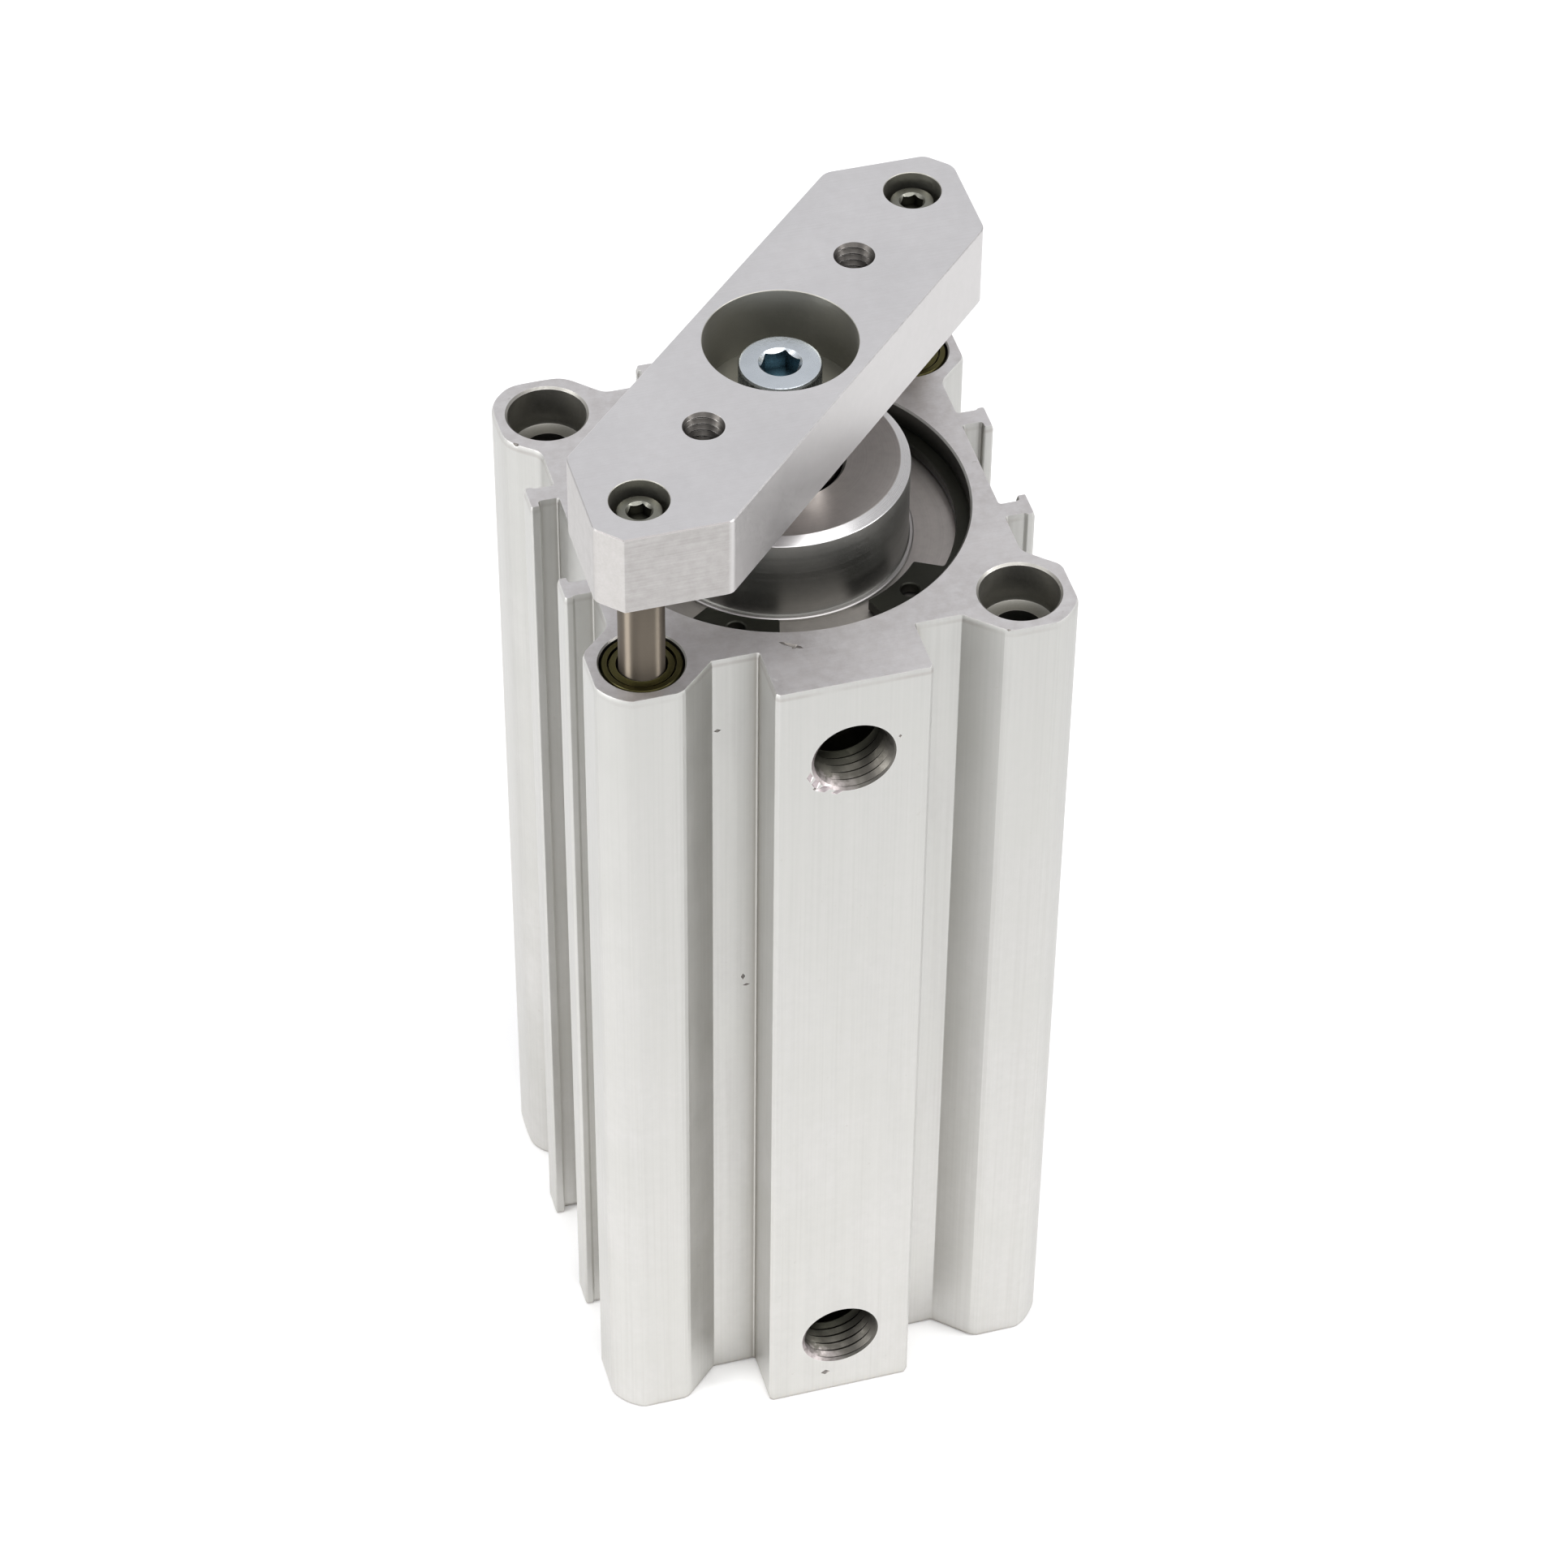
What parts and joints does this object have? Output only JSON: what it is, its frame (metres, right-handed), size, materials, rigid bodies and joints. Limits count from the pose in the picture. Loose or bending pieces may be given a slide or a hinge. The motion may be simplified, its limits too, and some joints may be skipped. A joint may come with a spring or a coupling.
{
  "type": "guide rod compact pneumatic cylinder",
  "caption": "Square-bodied compact pneumatic cylinder whose piston rod and diagonal guide rods carry a bar-shaped end plate.",
  "frame": {"origin": "centre of the base on the piston rod's axis", "axes": "+Z along the stroke towards the end plate, -Y out of the port face, +X to the right when facing the ports"},
  "size_m": [0.064, 0.0678, 0.1676],
  "materials": {
    "anodised_body": "satin clear anodised extrusion with machined ends",
    "machined_plate": "fine machined, clear anodised",
    "cover_alloy": "dark hard anodised, turned",
    "ring_steel": "black phosphate on spring steel",
    "chrome_rod": "hard chrome, ground",
    "bolt_steel": "bright zinc plated",
    "bush_bronze": "dark oiled bearing alloy",
    "seal_rubber": "nitrile rubber",
    "bumper_rubber": "polyurethane",
    "magnet": "plastic bonded magnet",
    "wear_plastic": "low friction plastic",
    "piston_alloy": "turned"
  },
  "bodies": {
    "cylinder": {"cylinder_tube": "anodised_body", "rod_cover": "cover_alloy", "rod_cover_o_ring": "seal_rubber", "rod_bush": "bush_bronze", "rod_seal": "seal_rubber", "rod_side_retaining_ring": "ring_steel", "head_cover": "cover_alloy", "head_cover_o_ring": "seal_rubber", "head_side_retaining_ring": "ring_steel", "guide_bush_front_left": "bush_bronze", "guide_bush_back_right": "bush_bronze", "guide_wiper_front_left": "bush_bronze", "guide_wiper_back_right": "bush_bronze"},
    "slide_unit": {"piston": "piston_alloy", "piston_seal": "seal_rubber", "magnet_ring": "magnet", "wear_ring": "wear_plastic", "bumper_head_side": "bumper_rubber", "bumper_rod_side": "bumper_rubber", "piston_rod": "chrome_rod", "piston_rod_o_ring": "seal_rubber", "piston_nut": "bolt_steel", "end_plate": "machined_plate", "plate_bolt": "bolt_steel", "guide_rod_front_left": "chrome_rod", "guide_rod_back_right": "chrome_rod", "guide_screw_front_left": "bolt_steel", "guide_screw_back_right": "bolt_steel"}
  },
  "joints": [
    {"name": "rod_slide", "type": "slide", "parent": "cylinder", "child": "slide_unit", "axis": [0, 0, 1], "range_m": [0, 0.1]}
  ]
}
